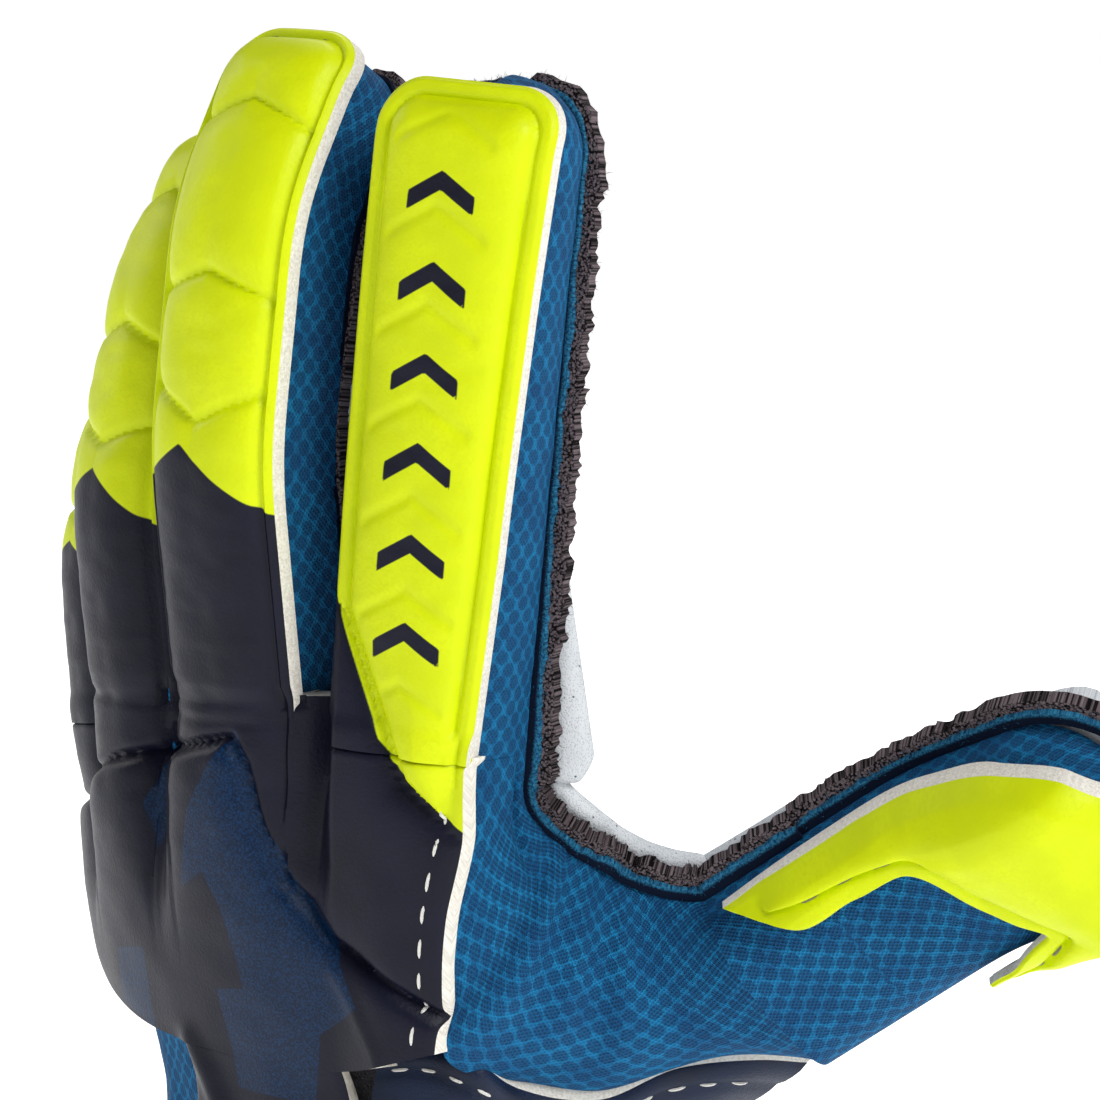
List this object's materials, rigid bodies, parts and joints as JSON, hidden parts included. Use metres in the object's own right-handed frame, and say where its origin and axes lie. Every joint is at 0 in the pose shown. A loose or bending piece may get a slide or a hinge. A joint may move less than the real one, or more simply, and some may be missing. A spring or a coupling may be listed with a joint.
{
  "type": "goalkeeper glove",
  "caption": "Left-hand goalkeeper glove with moulded foam back strips, mesh gussets, a latex palm, a ribbed wrist and a peel-open strap; fingers, thumb and strap bend.",
  "frame": {"origin": "centre of the wrist opening, in the plane of the cuff's lower edge", "axes": "+Z from the wrist opening towards the fingertips; +X towards the thumb side; the padded back of the hand faces -Y and the latex palm +Y"},
  "size_m": [0.184, 0.0981, 0.2624],
  "materials": {
    "yellow_foam": "satin polyurethane skin over moulded foam, neon yellow-green",
    "navy_foam": "satin polyurethane skin over moulded foam, navy with a printed blue facet",
    "air_mesh": "knitted air mesh with clusters of small holes, blue",
    "palm_latex": "fine open-cell grip latex, pale grey, dull",
    "lining": "brushed knit lining, dark",
    "rib_knit": "ribbed elastic knit, dark blue",
    "binding": "woven edge binding, navy",
    "loop_pile": "loop pile of a touch fastener",
    "hook_tape": "moulded hook tape of a touch fastener",
    "navy_band": "smooth coated synthetic band, navy, stitched in white"
  },
  "bodies": {
    "hand": {"closure_loop_pad": "loop_pile", "cuff_binding": "binding", "hand_back_foam": "navy_foam", "hand_back_lining": "lining", "hand_palm_latex": "palm_latex", "hand_palm_lining": "lining", "radial_mesh_gusset": "air_mesh", "thumb_mesh_gusset": "air_mesh", "ulnar_mesh_gusset": "air_mesh", "wrist_back_tongue": "navy_foam", "wrist_rib_cuff": "rib_knit", "wrist_side_panel": "navy_band", "wrist_strap_band": "navy_band"},
    "index_lower": {"index_lower_back_foam": "yellow_foam", "index_lower_mesh_gusset": "air_mesh", "index_lower_palm_latex": "palm_latex"},
    "index_middle": {"index_middle_back_foam": "yellow_foam", "index_middle_mesh_gusset": "air_mesh", "index_middle_palm_latex": "palm_latex"},
    "index_tip": {"index_tip_back_foam": "yellow_foam", "index_tip_mesh_gusset": "air_mesh", "index_tip_palm_latex": "palm_latex"},
    "little_lower": {"little_lower_back_foam": "navy_foam", "little_lower_mesh_gusset": "air_mesh", "little_lower_palm_latex": "palm_latex"},
    "little_middle": {"little_middle_back_foam": "yellow_foam", "little_middle_mesh_gusset": "air_mesh", "little_middle_palm_latex": "palm_latex"},
    "little_tip": {"little_tip_back_foam": "yellow_foam", "little_tip_mesh_gusset": "air_mesh", "little_tip_palm_latex": "palm_latex"},
    "middle_lower": {"middle_lower_back_foam": "navy_foam", "middle_lower_mesh_gusset": "air_mesh", "middle_lower_palm_latex": "palm_latex"},
    "middle_middle": {"middle_middle_back_foam": "yellow_foam", "middle_middle_mesh_gusset": "air_mesh", "middle_middle_palm_latex": "palm_latex"},
    "middle_tip": {"middle_tip_back_foam": "yellow_foam", "middle_tip_mesh_gusset": "air_mesh", "middle_tip_palm_latex": "palm_latex"},
    "ring_lower": {"ring_lower_back_foam": "navy_foam", "ring_lower_mesh_gusset": "air_mesh", "ring_lower_palm_latex": "palm_latex"},
    "ring_middle": {"ring_middle_back_foam": "yellow_foam", "ring_middle_mesh_gusset": "air_mesh", "ring_middle_palm_latex": "palm_latex"},
    "ring_tip": {"ring_tip_back_foam": "yellow_foam", "ring_tip_mesh_gusset": "air_mesh", "ring_tip_palm_latex": "palm_latex"},
    "strap": {"strap_free_end": "navy_band", "strap_hook_pad": "hook_tape"},
    "thumb_lower": {"thumb_lower_back_mesh": "air_mesh", "thumb_lower_foam_arm": "yellow_foam", "thumb_lower_mesh_gusset": "air_mesh", "thumb_lower_palm_latex": "palm_latex"},
    "thumb_tip": {"thumb_tip_back_foam": "yellow_foam", "thumb_tip_mesh_gusset": "air_mesh", "thumb_tip_palm_latex": "palm_latex"}
  },
  "joints": [
    {"name": "index_knuckle", "type": "hinge", "parent": "hand", "child": "index_lower", "pos_m": [0.03214, -0.00465, 0.15499], "axis": [-0.9937, -0.0036, -0.1118], "range_deg": [-10, 47], "stiffness_Nm_per_rad": 0.12},
    {"name": "index_middle_joint", "type": "hinge", "parent": "index_lower", "child": "index_middle", "pos_m": [0.03442, -0.00249, 0.19877], "axis": [-0.9933, -0.1054, 0.0483], "range_deg": [0, 55], "stiffness_Nm_per_rad": 0.08},
    {"name": "index_tip_joint", "type": "hinge", "parent": "index_middle", "child": "index_tip", "pos_m": [0.03557, -0.00012, 0.22757], "axis": [-0.9935, -0.1062, 0.0399], "range_deg": [0, 33], "stiffness_Nm_per_rad": 0.04},
    {"name": "middle_knuckle", "type": "hinge", "parent": "hand", "child": "middle_lower", "pos_m": [0.00678, -0.01151, 0.16015], "axis": [-0.9995, 0.0058, -0.0324], "range_deg": [-10, 47], "stiffness_Nm_per_rad": 0.12},
    {"name": "middle_middle_joint", "type": "hinge", "parent": "middle_lower", "child": "middle_middle", "pos_m": [0.00759, -0.01661, 0.20166], "axis": [-0.9996, -0.0268, 0.0002], "range_deg": [0, 55], "stiffness_Nm_per_rad": 0.08},
    {"name": "middle_tip_joint", "type": "hinge", "parent": "middle_middle", "child": "middle_tip", "pos_m": [0.00748, -0.01217, 0.23355], "axis": [-0.9992, -0.0343, -0.0218], "range_deg": [0, 33], "stiffness_Nm_per_rad": 0.04},
    {"name": "ring_knuckle", "type": "hinge", "parent": "hand", "child": "ring_lower", "pos_m": [-0.01861, -0.00703, 0.15509], "axis": [-0.9975, 0.067, -0.0221], "range_deg": [-10, 47], "stiffness_Nm_per_rad": 0.12},
    {"name": "ring_middle_joint", "type": "hinge", "parent": "ring_lower", "child": "ring_middle", "pos_m": [-0.02139, -0.00891, 0.19059], "axis": [-0.9979, 0.0513, -0.0395], "range_deg": [0, 55], "stiffness_Nm_per_rad": 0.08},
    {"name": "ring_tip_joint", "type": "hinge", "parent": "ring_middle", "child": "ring_tip", "pos_m": [-0.0221, -0.00095, 0.21869], "axis": [-0.9979, 0.0646, -0.0099], "range_deg": [0, 33], "stiffness_Nm_per_rad": 0.04},
    {"name": "little_knuckle", "type": "hinge", "parent": "hand", "child": "little_lower", "pos_m": [-0.04127, 0.00639, 0.14608], "axis": [-0.9964, 0.0704, 0.0465], "range_deg": [-10, 47], "stiffness_Nm_per_rad": 0.12},
    {"name": "little_middle_joint", "type": "hinge", "parent": "little_lower", "child": "little_middle", "pos_m": [-0.04617, 0.00742, 0.17729], "axis": [-0.99, 0.0985, -0.1011], "range_deg": [0, 55], "stiffness_Nm_per_rad": 0.08},
    {"name": "little_tip_joint", "type": "hinge", "parent": "little_middle", "child": "little_tip", "pos_m": [-0.04762, 0.01374, 0.19763], "axis": [-0.9914, 0.1189, -0.0551], "range_deg": [0, 33], "stiffness_Nm_per_rad": 0.04},
    {"name": "thumb_base_joint", "type": "hinge", "parent": "hand", "child": "thumb_lower", "pos_m": [0.06328, 0.0306, 0.12634], "axis": [-0.2202, -0.629, 0.7456], "range_deg": [-12, 25], "stiffness_Nm_per_rad": 0.12},
    {"name": "thumb_tip_joint", "type": "hinge", "parent": "thumb_lower", "child": "thumb_tip", "pos_m": [0.08709, 0.04574, 0.14615], "axis": [-0.2202, -0.629, 0.7456], "range_deg": [-5, 45], "stiffness_Nm_per_rad": 0.06},
    {"name": "strap_peel", "type": "hinge", "parent": "hand", "child": "strap", "pos_m": [-0.03895, -0.00386, 0.053], "axis": [-0.086, -0.0877, -0.9924], "range_deg": [0, 110]}
  ],
  "couplings": [
    {"joint": "index_tip_joint", "follows": "index_middle_joint", "ratio": 0.6},
    {"joint": "middle_tip_joint", "follows": "middle_middle_joint", "ratio": 0.6},
    {"joint": "ring_tip_joint", "follows": "ring_middle_joint", "ratio": 0.6},
    {"joint": "little_tip_joint", "follows": "little_middle_joint", "ratio": 0.6}
  ]
}
